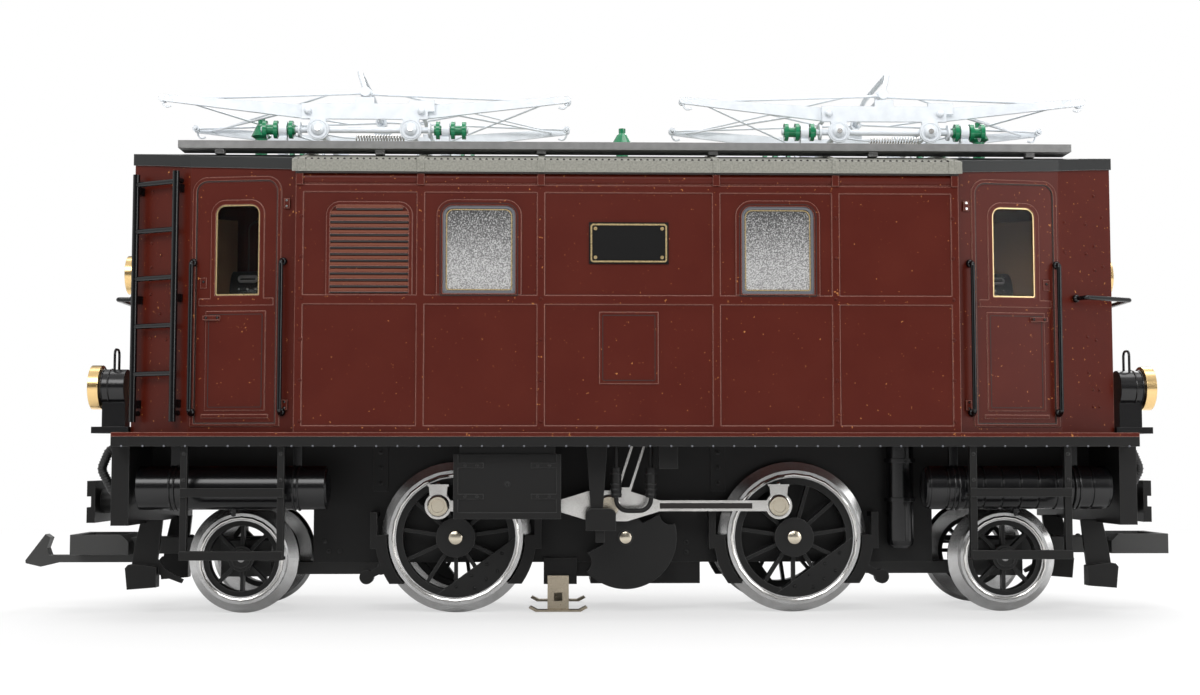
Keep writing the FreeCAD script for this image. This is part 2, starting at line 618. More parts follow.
def guard(end, side):
    """A rail guard: a strap that curves down from the beam to a block above the rail."""
    wide, foot, top = s.guard_wide / 2, s.guard_foot, s.guard_top
    kink, y = s.guard_high + 7.0, side * s.guard_side
    strap = prism("Y", [(end * (top - wide), s.beam_low + 1), (end * (top + wide), s.beam_low + 1),
                        (end * (foot + wide - 1.4), kink), (end * (foot + wide - 0.4), s.guard_high),
                        (end * (foot + wide - 0.6), s.guard_low + 1),
                        (end * (foot - wide), s.guard_low + 1), (end * (foot - wide - 1.6), s.guard_high),
                        (end * (foot - wide - 2.4), kink)], (y, y + side * s.guard_thick))
    low, high, half = s.guard_low, s.guard_high, s.guard_half
    block = prism("Y", [(end * (foot - half - 1), low + 0.8), (end * (foot - half - 1), high - 0.8),
                        (end * (foot - 1), high), (end * (foot + half - 1), high),
                        (end * (foot + half), high - 1.2), (end * (foot + half - 0.8), low)],
                  (y, y + side * s.guard_half))
    return [strap, block]


def sweep(end, side):
    """A curved strip behind a guard, ending in front of the pony wheel."""
    y, foot, high = side * s.guard_side, s.guard_foot - s.guard_wide / 2, s.guard_high
    top, tip = high + 4.0, s.guard_low + 2.6
    return prism("Y", [(end * foot, top), (end * foot, high - 2.6), (end * (foot - 5.0), tip + 1.4),
                       (end * (s.sweep_to + 0.6), tip - 0.6), (end * s.sweep_to, tip + 0.6),
                       (end * (foot - 4.6), tip + 4.4)], (y, y + side * s.guard_thick))


def valance():
    """Black edge frame under the deck, with the buffer beams, buffers and rail guards."""
    half, front = s.deck_width / 2, s.deck_half + s.beam_out
    outer = box((-s.deck_half, s.deck_half), (-half, half), (valance_low, s.deck_low))
    hollow = box((-s.deck_half + s.valance_thick, s.deck_half - s.valance_thick),
                 (-half + s.valance_thick, half - s.valance_thick), (valance_low - 1, s.deck_low + 1))
    parts = [cut(outer, [hollow])]
    middle = s.buffer_low + s.buffer_height / 2
    for end in ENDS:
        parts.append(box((end * (s.deck_half - s.valance_thick), end * front), (-s.beam_half, s.beam_half),
                         (s.beam_low, s.deck_low - 0.5)))
        parts.append(bar("X", (0, middle), s.buffer_stem, (end * front, end * (s.buffer_face - 2.0))))
        pad = box((end * (s.buffer_face - s.buffer_thick), end * s.buffer_face),
                  (-s.buffer_half, s.buffer_half), (s.buffer_low, s.buffer_low + s.buffer_height))
        notch = box((end * (s.buffer_face - s.buffer_thick / 2), end * (s.buffer_face + 1)),
                    (-s.buffer_half - 1, s.buffer_half + 1),
                    (middle - s.buffer_notch / 2, middle + s.buffer_notch / 2))
        parts.append(cut(pad, [notch]))
        for side in SIDES:
            parts += guard(end, side)
            if end == side:
                parts.append(sweep(end, side))
    node("buffer_beams", fuse(parts))


frame()
motor()
deck()
valance()


# ------------------------------------------------------------------ body
def under_camber(drop, reach):
    """Everything under the roof's curve, lowered by a distance, along a length of the model."""
    return bar("X", (0, s.crown - s.camber - drop), s.camber * 2, (-reach, reach))


def window_frame(x, side, face):
    """A raised surround round one opening in the side of the house."""
    half, edge = s.window_width / 2 + s.surround, s.surround
    y = (side * (face - 0.3), side * (face + s.surround_thick))
    return arched((x - half, x + half), y, (s.window_low - edge * 0.2, s.window_high + edge),
                  s.window_turn + edge)


def window_hole(x, y):
    half = s.window_width / 2
    return arched((x - half, x + half), y, (s.window_low, s.window_high), s.window_turn)


def house():
    half, width = s.house_half, s.house_width / 2
    shell = box((-half, half), (-width, width), (deck_top, s.cornice_low + 8))
    room = box((-half + s.wall, half - s.wall), (-width + s.wall, width - s.wall),
               (deck_top - 1, s.cornice_low + 12))
    lid = under_camber(s.roof_thick, half + 5)
    parts = [common(cut(shell, [room]), lid)]
    holes = []
    for side in SIDES:
        y = (side * (width - 0.3), side * (width + s.strip_thick))
        edge_rib = half - s.strip / 2
        for x in (-edge_rib, -s.rib_outer, -s.rib_inner, s.rib_inner, s.rib_outer, edge_rib):
            parts.append(box((x - s.strip / 2, x + s.strip / 2), y, (deck_top, s.cornice_low)))
        parts.append(box((-half, half), y, (s.mid_rail_low, s.mid_rail_high)))
        parts.append(box((-half, half), y, (s.panel_top, s.cornice_low)))
        parts.append(box((-half, half), y, (deck_top, s.plinth_top)))
        parts.append(bar("X", (side * (width - 1.4), s.cornice_low + s.cornice / 2), s.cornice,
                         (-half, half)))
        for x in (-s.window_at, s.window_at):
            parts.append(window_frame(x, side, width))
            holes.append(window_hole(x, (side * (width - s.wall - 1), side * (width + 2))))
        x = side * s.grille_at
        w = s.grille_width / 2
        wide = w + s.grille_edge
        y = (side * (width - 0.3), side * (width + s.surround_thick))
        edge = arched((x - wide, x + wide), y, (s.mid_rail_high, s.window_high + s.grille_edge),
                      s.window_turn + s.grille_edge)
        mouth = arched((x - w, x + w), (side * (width + 0.1), side * (width + 2)),
                       (s.mid_rail_high + 0.6, s.window_high), s.window_turn)
        parts.append(cut(edge, [mouth]))
        for index in range(int(s.slats)):
            z = s.mid_rail_high + 1.0 + s.slat_pitch * index
            inset = s.window_turn * 0.6 if index == int(s.slats) - 1 else 0.0
            parts.append(prism("X", [(side * (width - 0.4), z), (side * (width + s.slat_thick), z),
                                     (side * (width - 0.4), z + s.slat_pitch * 0.85)],
                               (x - w + inset, x + w - inset)))
        parts.append(box((-s.number_width / 2, s.number_width / 2),
                         (side * (width - 0.3), side * (width + s.sign_thick)),
                         (s.number_low, s.number_low + s.number_height)))
    node("engine_house", cut(fuse(parts), holes))
    panes, plates = [], []
    for side in SIDES:
        for x in (-s.window_at, s.window_at):
            panes.append(window_hole(x, (side * (width - s.glass - 0.4), side * (width - 0.4))))
        plates.append(box((-s.plate_width / 2, s.plate_width / 2),
                          (side * width, side * (width + s.sign_thick)),
                          (s.plate_low_edge, s.plate_low_edge + s.plate_height)))
    node("house_windows", panes)
    node("plates", plates)


def plan(end, shrink, back):
    """The cab's outline seen from above, drawn in by a wall thickness."""
    lean = math.atan2(float(s.cab_back - s.cab_mid_width), float(s.cab_mid - s.house_half))
    turn = math.atan2(float(s.cab_mid_width - s.cab_end_width), float(s.cab_end - s.cab_mid))
    middle, half = (lean + turn) / 2, (turn - lean) / 2
    corner = (1 - math.sin(turn)) / math.cos(turn)
    points = [(back, s.cab_back + (s.house_half - back) * math.tan(lean) - shrink / math.cos(lean)),
              (s.cab_mid - shrink * math.sin(middle) / math.cos(half),
               s.cab_mid_width - shrink * math.cos(middle) / math.cos(half)),
              (s.cab_end - shrink, s.cab_end_width - shrink * corner)]
    points = [(end * x, y) for x, y in points]
    return points + [(x, -y) for x, y in reversed(points)]


def door_line(end, side):
    """Start, direction and outward direction of the door panel of one cab corner."""
    start = Vector(end * s.house_half, side * s.cab_back, 0)
    corner = Vector(end * s.cab_mid, side * s.cab_mid_width, 0)
    along = (corner - start).normalize()
    outward = Vector(-along.y, along.x, 0) * (end * side)
    return start, along, outward


def on_door(item, end, side, offset):
    """Move a piece drawn on the X axis, outward to its near side, to a door panel."""
    start, along, outward = door_line(end, side)
    spot = start + along * offset
    angle = math.degrees(math.atan2(along.y, along.x))
    group = doc.addObject("Part::Compound", "OnDoor")
    group.Links = [item]
    group.Placement = Placement(spot, Rotation(Z, angle))
    return group


def flip(end, side):
    """+1 where the outward side of a piece drawn along a door panel is its +Y side."""
    return end * side


slope = math.cos(math.atan2(float(s.cab_back - s.cab_mid_width), float(s.cab_mid - s.house_half)))
door_start = (s.door_from - s.house_half) / slope


def cab(name, end):
    """Walls of one cab, with two door openings and the windows of its front."""
    walls = prism("Z", plan(end, 0.0, s.house_half), (deck_top, s.crown))
    room = prism("Z", plan(end, s.wall, s.house_half - 2), (deck_top - 1, s.crown + 1))
    body = common(cut(walls, [room]), under_camber(s.roof_thick, s.cab_end + 5))
    holes, parts = [], [body]
    for side in SIDES:
        out = flip(end, side)
        gap = s.door_gap
        edge = s.door_frame
        opening = arched((door_start - gap, door_start + s.door_width + gap), (out * 4.0, -out * 6.0),
                         (s.door_low - gap, s.door_high + gap), s.door_turn + gap)
        holes.append(on_door(opening, end, side, 0.0))
        sill = arched((door_start - edge, door_start + s.door_width + edge),
                      (out * s.strip_thick, -out * 0.3), (s.door_low - 1.2, s.door_high + edge),
                      s.door_turn + edge)
        parts.append(on_door(sill, end, side, 0.0))
        x = (end * (s.cab_end - 4), end * (s.cab_end + 2))
        glass = s.front_glass_width / 2
        holes.append(box(x, (side * (s.front_glass_at - glass), side * (s.front_glass_at + glass)),
                         (s.window_low, s.window_high)))
        parts.append(box((end * (s.cab_end - 0.3), end * (s.cab_end + s.strip_thick)),
                         (side * (s.front_glass_at - glass - 1.6), side * (s.front_glass_at + glass + 1.6)),
                         (s.window_low - 1.2, s.window_high + 1.6)))
    parts.append(box((end * (s.cab_end - 0.3), end * (s.cab_end + s.strip_thick)),
                     (-s.front_door_width / 2, s.front_door_width / 2), (s.door_low, s.window_high)))
    node(name, cut(fuse(parts), holes))


def cab_windows():
    panes = []
    for end in ENDS:
        for side in SIDES:
            glass = s.front_glass_width / 2
            panes.append(box((end * (s.cab_end - s.wall + 0.3), end * (s.cab_end - 0.4)),
                             (side * (s.front_glass_at - glass), side * (s.front_glass_at + glass)),
                             (s.window_low, s.window_high)))
    node("cab_windows", panes)


def door(name, end, side):
    """A leaf with raised panels, a window opening, a latch and two hinge knuckles inside."""
    out = flip(end, side)
    left, right = door_start, door_start + s.door_width
    raised = (out * s.door_panel, -out * 0.3)
    leaf = arched((left, right), (0, -out * s.wall), (s.door_low, s.door_high), s.door_turn)
    parts = [leaf,
             box((left + 3.6, right - 3.6), raised, (s.door_low + 4.2, s.mid_rail_low - 2)),
             box((left + 2.4, right - 2.4), raised, (s.door_low + 1.6, s.door_low + 2.8)),
             box((left + 1.0, right - 1.0), raised, (s.mid_rail_low, s.mid_rail_low + 2.4))]
    low, high = left + s.door_glass_in, left + s.door_glass_in + s.door_glass_width
    edge = s.door_frame
    parts.append(arched((low - edge, high + edge), raised, (s.mid_rail_low + 2.0, s.door_glass_high + edge),
                        s.window_turn + edge))
    hole = arched((low, high), (out * 2.0, -out * 3.0), (s.door_glass_low, s.door_glass_high),
                  s.window_turn)
    for z in (s.door_low + 8.0, s.door_high - 14.0):
        parts.append(bar("Z", (left, -out * (s.wall + s.hinge_in)), s.hinge_pin, (z, z + s.knuckle)))
        parts.append(box((left, left + 3.0), (-out * (s.wall - 0.3), -out * (s.wall + s.hinge_in)),
                         (z, z + s.knuckle)))
    latch = s.mid_rail_low - 3.6
    parts.append(box((right - 3.0 - s.latch_long, right - 3.0), (out * 1.8, -out * 0.3),
                     (latch - s.latch_high, latch)))
    node(name, on_door(cut(fuse(parts), [hole]), end, side, 0.0))
    pane = arched((low, high), (-out * 0.4, -out * (0.4 + 0.8)), (s.door_glass_low, s.door_glass_high),
                  s.window_turn)
    node(name + "_window", on_door(pane, end, side, 0.0))


def roof():
    half, width = s.house_half + s.roof_over, s.house_width / 2 + s.roof_over + 0.6
    block = box((-half, half), (-width, width), (s.cornice_low, s.crown + 1))
    sheets = [common(block, under_camber(0.0, half + 5))]
    end_batten = s.house_half - s.batten
    for x in (-end_batten, -s.rib_outer, -s.rib_inner, s.rib_inner, s.rib_outer, end_batten):
        strip = box((x - s.batten / 2, x + s.batten / 2), (-width - s.batten_thick, width + s.batten_thick),
                    (s.cornice_low, s.crown + 1))
        sheets.append(common(strip, under_camber(-s.batten_thick, half + 5)))
    node("house_roof", cut(fuse(sheets), [under_camber(s.roof_thick, half + 5)]))
    caps = []
    for end in ENDS:
        over = s.cab_roof_over
        block = prism("Z", plan(end, -over, half + 0.05), (s.cornice_low, s.crown + 1))
        caps.append(cut(common(block, under_camber(0.0, s.cab_end + 5)),
                        [under_camber(s.roof_thick, s.cab_end + 6)]))
    node("cab_roofs", caps)


house()
for end, word in ((-1, "left"), (1, "right")):
    cab("cab_" + word, end)
    for side, place_word in ((NEAR, "near"), (FAR, "far")):
        door("door_" + place_word + "_" + word, end, side)
cab_windows()
roof()


# ------------------------------------------------------------------ fittings
def roof_height(y):
    """Height of the roof's surface at a distance from its middle line."""
    return float(s.crown) - float(s.camber) + math.sqrt(float(s.camber) ** 2 - float(y) ** 2)


def walkways():
    boards = []
    for side in SIDES:
        y = (side * (s.walk_edge - s.walk_width), side * s.walk_edge)
        board = box((-s.walk_half, s.walk_half), y, (s.walk_low, s.walk_low + s.walk_thick))
        parts = [cut(board, [under_camber(-s.batten_thick - s.seat, s.walk_half + 1)])]
        middle = side * (s.walk_edge - 4.0)
        for end in ENDS:
            for x, lift in ((s.foot_inner, s.batten_thick), (s.foot_middle, 0.0), (s.foot_outer, 0.0)):
                parts.append(box((end * x - 1.6, end * x + 1.6), (middle - 1.5, middle + 1.5),
                                 (roof_height(s.walk_edge - 5.5) + lift + s.seat, s.walk_low + 0.2)))
        boards.append(fuse(parts))
    node("walkways", boards)


def lamp_handle(end, x, y, top):
    """A wire handle over the drum of a lamp."""
    near, far, high = float(y) - float(s.handle_half), float(y) + float(s.handle_half), float(top)
    spots = [Vector(x, near, high - 1), Vector(x, near, high + float(s.handle_high)),
             Vector(x, far, high + float(s.handle_high)), Vector(x, far, high - 1)]
    return pipe(spots, s.lamp_handle, 2.0)


def lamps():
    bodies, rims, lenses = [], [], []
    for end in ENDS:
        spots = [(side * s.lamp_side, s.lamp_z, s.lamp, s.lamp_rim, s.lamp_face,
                  s.cab_end + s.lamp_stand) for side in SIDES]
        spots.append((0, s.upper_lamp_z, s.upper_lamp - 2.0, s.upper_lamp, s.upper_lamp_face,
                      s.cab_end + s.strip_thick))
        for y, z, size, rim, face, back in spots:
            parts = [bar("X", (y, z), size, (end * back, end * (face - s.lamp_rim_thick))),
                     lamp_handle(end, end * float(back + s.handle_in), y, z + size / 2)]
            if face is s.lamp_face:
                parts.append(box((end * back, end * (back + 8.0)), (y - 3.6, y + 3.6),
                                 (s.lamp_foot - 1, z)))
                parts.append(box((end * (s.cab_end + s.strip_thick), end * (back + 11.0)),
                                 (y - 6.0, y + 6.0), (deck_top, s.lamp_foot)))
            bodies.append(fuse(parts))
            glass = rim - s.lamp_edge * 2
            collar = bar("X", (y, z), rim, (end * (face - s.lamp_rim_thick), end * face))
            bowl = bar("X", (y, z), glass, (end * (face - s.lamp_glass), end * (face + 1)))
            rims.append(cut(collar, [bowl]))
            lenses.append(bar("X", (y, z), glass, (end * (face - s.lamp_glass), end * (face - 0.6))))
    node("lamp_bodies", bodies)
    node("lamp_rims", rims)
    node("lamp_lenses", lenses)


def vessel(x, y):
    """An upright air vessel with a rounded foot and two raised bands."""
    half, band = s.vessel / 2, s.vessel_ring / 2
    top = s.deck_low - s.vessel_low
    return upright((x, y), s.vessel_low, [
        (0, 0), (half * 0.6, 0), (half * 0.9, 1.0), (half, 2.6), (half, 16.6), (band, 16.6),
        (band, 18.0), (half, 18.0), (half, 30.6), (band, 30.6), (band, 32.0), (half, 32.0),
        (half, top), (0, top)])


def tanks():
    """A plain and a ribbed reservoir on each side, and an upright vessel behind one of them."""
    parts = []
    for side in SIDES:
        for end in ENDS:
            ribbed = end * side < 0
            line = (side * s.tank_side, s.tank_z)
            group = [bar("X", line, s.tank - (s.tank_step if ribbed else 0.0),
                         (end * s.tank_from, end * s.tank_to))]
            if ribbed:
                count = int(float(s.tank_to - s.tank_from) / float(s.tank_rings))
                for index in range(count):
                    x = s.tank_from + s.tank_groove + s.tank_rings * index
                    stop = x + s.tank_rings - s.tank_groove
                    group.append(bar("X", line, s.tank, (end * x, end * stop)))
            for x in (s.tank_from + 10.0, s.tank_to - 12.0):
                group.append(box((end * (x - 1.5), end * (x + 1.5)),
                                 (side * (s.tank_side - 1), side * (s.tank_side + 1)),
                                 (s.tank_z, s.deck_low)))
            parts.append(fuse(group))
        parts.append(vessel(-side * s.vessel_at, side * s.vessel_side))
    node("tanks", parts)


def steps():
    """A hanging pair of steps under each door, with a raised lip on each tread."""
    sets = []
    for side in SIDES:
        for end in ENDS:
            parts = []
            for x in (s.step_from, s.step_to):
                parts.append(box((end * (x - s.step_bar / 2), end * (x + s.step_bar / 2)),
                                 (side * (s.step_side - s.step_bar), side * s.step_side),
                                 (s.step_low, valance_low)))
            x = (end * (s.step_from - 1), end * (s.step_to + 1))
            for low in (s.step_low, s.step_mid):
                parts.append(box(x, (side * (s.step_side - s.step_bar), side * (s.step_side + 1.0)),
                                 (low, low + s.tread_thick)))
                parts.append(box(x, (side * (s.step_side - s.tread_deep), side * (s.step_side + 1.0)),
                                 (low, low + s.tread_sheet)))
            sets.append(fuse(parts))
    node("steps", sets)


def battery_box(side):
    """A box hung from the deck, with a rim and four hinge straps on its lid."""
    inside, outside = side * s.box_to, side * s.box_from
    case = box((inside, outside), (side * (s.box_side - s.box_deep), side * s.box_side),
               (s.box_low, s.box_high))
    hanger = box((inside + side * 2, outside - side * 2),
                 (side * (s.box_side - s.box_deep + 1), side * (s.box_side - 1)), (s.box_high, s.deck_low))
    face = (side * (s.box_side - 0.3), side * (s.box_side + s.lid_thick))
    parts = [case, hanger, box((inside, outside), face, (s.box_low, s.box_low + s.lid_edge * 1.4))]
    for x, way in ((inside, side), (outside, -side)):
        parts.append(box((x, x + way * s.lid_edge), face, (s.box_low, s.box_high)))
        for z in (s.lid_hinge_low, s.lid_hinge_high):
            parts.append(box((x + way * s.lid_edge, x + way * (s.lid_edge + s.hinge_long)), face,
                             (z, z + s.hinge_high)))
    return fuse(parts)


def socket(side):
    """A tapered strap from the deck with the cable socket and its clip at the foot."""
    x, wide, tip = side * s.strap_at, s.strap_wide / 2, s.strap_tip / 2
    strap = prism("Y", [(x - wide, s.deck_low), (x + wide, s.deck_low), (x + tip, s.socket_high - 1),
                        (x - tip, s.socket_high - 1)],
                  (side * s.strap_side, side * (s.strap_side - s.strap_thick)))
    y = (side * s.socket_side, side * (s.socket_side - s.socket_deep))
    body = s.socket_wide / 2
    x = side * s.socket_at
    block = arched((x - body, x + body), y, (s.socket_low, s.socket_high), s.socket_wide / 5)
    x = side * s.clip_at
    clip = box((x - s.clip_wide / 2, x + s.clip_wide / 2),
               (side * (s.socket_side - 1.6), side * (s.socket_side - 3.4)),
               (s.clip_low, s.socket_low + 1))
    return fuse([strap, block, clip])


def plugs(side):
    """Two plugs under the deck with the cable that hangs between them, and a bracket."""
    y = side * s.plug_side
    near, far = side * s.plug_near, side * s.plug_far
    parts = []
    for x in (near, far):
        parts.append(bar("Z", (x, y), s.plug, (s.plug_low, s.plug_high)))
        parts.append(bar("Z", (x, y), s.cable, (s.plug_high - 1, s.deck_low)))
    drop = [Vector(x, y, z) for x, z in ((near, s.plug_low + 1), (near, s.cable_low), (far, s.cable_low),
                                         (far, s.plug_low + 1))]
    parts.append(pipe(drop, s.cable, 4.0))
    x = side * s.bracket_at
    bracket = box((x - s.bracket_wide / 2, x + s.bracket_wide / 2),
                  (side * (s.bracket_side - 3), side * s.bracket_side), (s.bracket_low, s.deck_low))
    return [fuse(parts), bracket]


def electric_boxes():
    sets = []
    for side in SIDES:
        sets += [battery_box(side), socket(side)] + plugs(side)
    node("battery_boxes", sets)


def skates():
    """Sprung pickup shoes with upturned ends, one beside each rail under the middle."""
    parts = []
    x, flat, half = -s.skate_at, s.skate_flat, s.skate_half
    low, tip, thick = s.skate_low, s.skate_tip, s.skate_sheet
    for side in SIDES:
        y = (side * (s.skate_side - s.skate_wide / 2), side * (s.skate_side + s.skate_wide / 2))
        shoe = prism("Y", [(x - half, tip), (x - flat, low), (x + flat, low), (x + half, tip),
                           (x + half - thick, tip + thick), (x + flat - thick, low + thick),
                           (x - flat + thick, low + thick), (x - half + thick, tip + thick)], y)
        leaf = (side * (s.skate_side - 0.5), side * (s.skate_side + 0.5))
        plate = box((x - s.skate_leaf, x + s.skate_leaf), leaf, (low, s.skate_high))
        gap = box((x - s.skate_window, x + s.skate_window),
                  (side * (s.skate_side - 1), side * (s.skate_side + 1)), (low + 3.7, low + 6.7))
        arm = box((x - s.skate_leaf, x + s.skate_leaf),
                  (side * s.skate_box_out, side * (s.skate_side + 0.5)), (s.skate_high, s.skate_high + 3.0))
        parts.append(fuse([shoe, cut(plate, [gap]), arm]))
    node("pickup_skates", parts)


def corner_line(end, side):
    """Start, direction, outward direction and length of the angled panel beside a cab's front."""
    start = Vector(end * s.cab_mid, side * s.cab_mid_width, 0)
    run = Vector(end * s.cab_end, side * s.cab_end_width, 0) - start
    length = run.Length
    run.normalize()
    return start, run, Vector(-run.y, run.x, 0) * (end * side), length


def handrails():
    """Upright rails beside the doors, and a level one across the corner of each cab."""
    bars = []
    for side in SIDES:
        for end in ENDS:
            start, along, outward = door_line(end, side)
            low, high = Z * float(s.hand_low), Z * float(s.hand_high)
            beyond = door_start + s.door_width + 0.8
            for offset, lift in ((door_start - 2.6, 0.0), (beyond, float(s.strip_thick))):
                foot = start + along * float(offset)
                away = foot + outward * float(s.hand_off)
                spots = [foot + outward * lift + low, away + low, away + high, foot + outward * lift + high]
                bars.append(pipe(spots, s.hand_bar, 1.0))
            level, out = Z * float(s.corner_z), float(s.corner_out)
            front = [Vector(end * (s.cab_end + reach), side * place_y, s.corner_z) for reach, place_y in
                     ((s.corner_out, s.staple_in), (0, s.staple_in))]
            if end != side:
                start, along, outward, length = corner_line(end, side)
                foot = start + along * float(s.corner_foot) + level
                bend = start + along * (length + out * 0.4) + outward * out + level
                spots = [foot, foot + outward * out, bend] + front
            else:
                spots = [Vector(end * s.cab_end, side * s.staple_out, s.corner_z),
                         Vector(end * (s.cab_end + s.corner_out), side * s.staple_out, s.corner_z)] + front
            bars.append(pipe(spots, s.corner_bar, 1.0))
    node("handrails", bars)


def ladders():
    sets = []
    for side in SIDES:
        start, along, outward, length = corner_line(side, side)
        out = outward * float(s.ladder_out)
        ends = (float(s.ladder_in), length - float(s.ladder_edge))
        low, high = float(s.ladder_low), float(s.ladder_high)
        parts = []
        for offset in ends:
            foot = start + along * offset
            parts.append(strut(foot + out + Z * low, foot + out + Z * high, s.ladder_rail))
            for z in (low + 3.0, high - 3.0):
                parts.append(strut(foot + out + Z * z, foot + Z * z, s.rung))
        for index in range(int(s.ladder_rungs)):
            z = Z * float(s.ladder_first + s.ladder_pitch * index)
            parts.append(strut(start + along * ends[0] + out + z, start + along * ends[1] + out + z, s.rung))
        sets.append(fuse(parts))
    node("ladders", sets)


def hoses():
    """Brake hoses that bow out from the deck's ends and drop beside the buffers."""
    tubes = []
    for end in ENDS:
        for side in SIDES:
            spots = [Vector(end * (s.deck_half + out), side * s.hose_side, z) for out, z in
                     ((s.beam_out, s.hose_top), (10.0, s.hose_top), (13.0, s.hose_knee),
                      (9.0, s.hose_knee - 7.5), (5.2, s.hose_low + 7.0), (4.6, s.hose_low))]
            tubes.append(pipe(spots, s.hose, s.hose_bend))
    node("brake_hoses", tubes)


def console(end):
    """The driver's desk: one plain arched cabinet on the deck behind the front windows."""
    outer = s.cab_end - s.console_in
    half, turn = s.console_half, s.console_half * 0.7
    parts = [box((end * (outer - s.console_long), end * outer), (-half, half),
                 (deck_top, s.console_high - turn)),
             box((end * (outer - s.console_long), end * outer), (-half + turn, half - turn),
                 (deck_top, s.console_high))]
    for side in SIDES:
        parts.append(bar("X", (side * (half - turn), s.console_high - turn), turn * 2,
                         (end * (outer - s.console_long), end * outer)))
    item = fuse(parts)
    item.Refine = True
    return item


walkways()
lamps()
tanks()
steps()
electric_boxes()
skates()
handrails()
ladders()
hoses()
node("cab_consoles", [console(end) for end in ENDS])


# ------------------------------------------------------------------ pony trucks and couplers
def truck(name, end):
    """Swivelling truck: a tongue to the pivot, cheeks that carry the axle and the drawbar."""
    low, high, x = s.plate_low - 5.0, s.plate_low - 0.6, s.pony_base
    tongue, out = s.tongue_half, s.cheek_out
    parts = [box((end * (s.truck_pivot - 5), end * (x + 4)), (-tongue, tongue), (low, high))]
    for side in SIDES:
        parts.append(box((end * (x - 9), end * (x + 9)), (side * s.cheek_in, side * out),
                         (low, pony_z + 6.0)))
    parts.append(box((end * (x + 4), end * (x + 9)), (-out, out), (low, high + 8.0)))
    parts.append(box((end * (x - 9), end * (x - 4)), (-out, out), (low, high)))
    holes = [bar("Z", (end * s.truck_pivot, 0), s.pivot_pin + s.running_gap * 2, (low - 1, high + 1)),
             bar("Y", (end * x, pony_z), s.axle + s.running_gap * 2, (-out - 1, out + 1)),
             box((end * (x - 4), end * (x + 4)), (-s.cheek_in + 1, s.cheek_in - 1),
                 (pony_z - s.axle / 2 - 1, high + 1))]
    node("truck_" + name, cut(fuse(parts), holes))


def coupler(name, end):
    """Loop coupler on its drawbar; the left one also has the hook."""
    half, low, high = s.coupler_half, s.coupler_low, s.coupler_high
    wall, slant = s.coupler_wall, s.coupler_chamfer
    front, back = s.coupler_face, s.coupler_face - s.coupler_long
    outer = prism("Y", [(end * back, low), (end * front, low), (end * front, high),
                        (end * (back + slant), high), (end * back, high - slant)], (-half, half))
    inner = box((end * (back + wall), end * (front - wall)), (-half + wall, half - wall),
                (low - 1, high + 1))
    parts = [cut(outer, [inner]),
             box((end * (s.pony_base + 9.0), end * (back + 1)), (-s.drawbar_half, s.drawbar_half),
                 (low, s.drawbar_high))]
    if end < 0:
        bar_low, bar_high = s.hook_bar_low, s.hook_bar_high
        hook = [(back - 6.0, bar_low), (back - 6.0, bar_high), (210.6, bar_high), (211.6, 22.1),
                (210.3, 25.8), (212.2, 27.1), (219.3, 17.6), (219.2, 16.5), (213.7, 15.2), (207.0, bar_low)]
        parts.append(prism("Y", [(end * x, z) for x, z in hook], (-s.hook_half, s.hook_half)))
        parts.append(box((end * (back - 6.0), end * (back + wall)), (-s.hook_half, s.hook_half),
                         (bar_low, low + 2.0)))
    node("coupler_" + name, fuse(parts))


for end, word in ((-1, "left"), (1, "right")):
    truck(word, end)
    coupler(word, end)


# ------------------------------------------------------------------ pantographs
def arm_frame(x, end):
    """Two tapered lower arms from their pivots to the knees, braced by crossed wires."""
    root = Vector(x + end * s.arm_pivot_at, 0, s.arm_pivot_z)
    tip = Vector(x + end * s.knee_at, 0, s.knee_z)
    outer = s.panto_span - s.side_gap
    inner = outer - s.arm_thick
    half, end_half = s.arm_root / 2, s.arm_tip / 2
    root_x, tip_x = x + end * s.arm_pivot_at, x + end * s.knee_at
    parts = []
    for side in SIDES:
        y = (side * inner, side * outer)
        parts.append(prism("Y", [(root_x, s.arm_pivot_z - half), (tip_x, s.knee_z - end_half),
                                 (tip_x, s.knee_z + end_half), (root_x, s.arm_pivot_z + half)], y))
        parts.append(bar("Y", (root_x, s.arm_pivot_z), s.arm_root, y))
        parts.append(bar("Y", (tip_x, s.knee_z), s.arm_tip, y))
        parts.append(bar("Y", (tip_x, s.knee_z), s.tube, (side * (inner - s.stub), side * outer)))
    parts.append(bar("Y", (root_x, s.arm_pivot_z), s.tube * 1.3, (-outer + 0.2, outer - 0.2)))
    ahead = (tip - root).normalize()
    wide = float(inner) + 0.3
    for side, size in ((NEAR, s.brace), (FAR, s.brace * 0.85)):
        parts.append(strut(root + ahead * float(s.brace_in) + Y * (side * wide),
                           tip - ahead * float(s.brace_in) - Y * (side * wide), size))
    return fuse(parts)


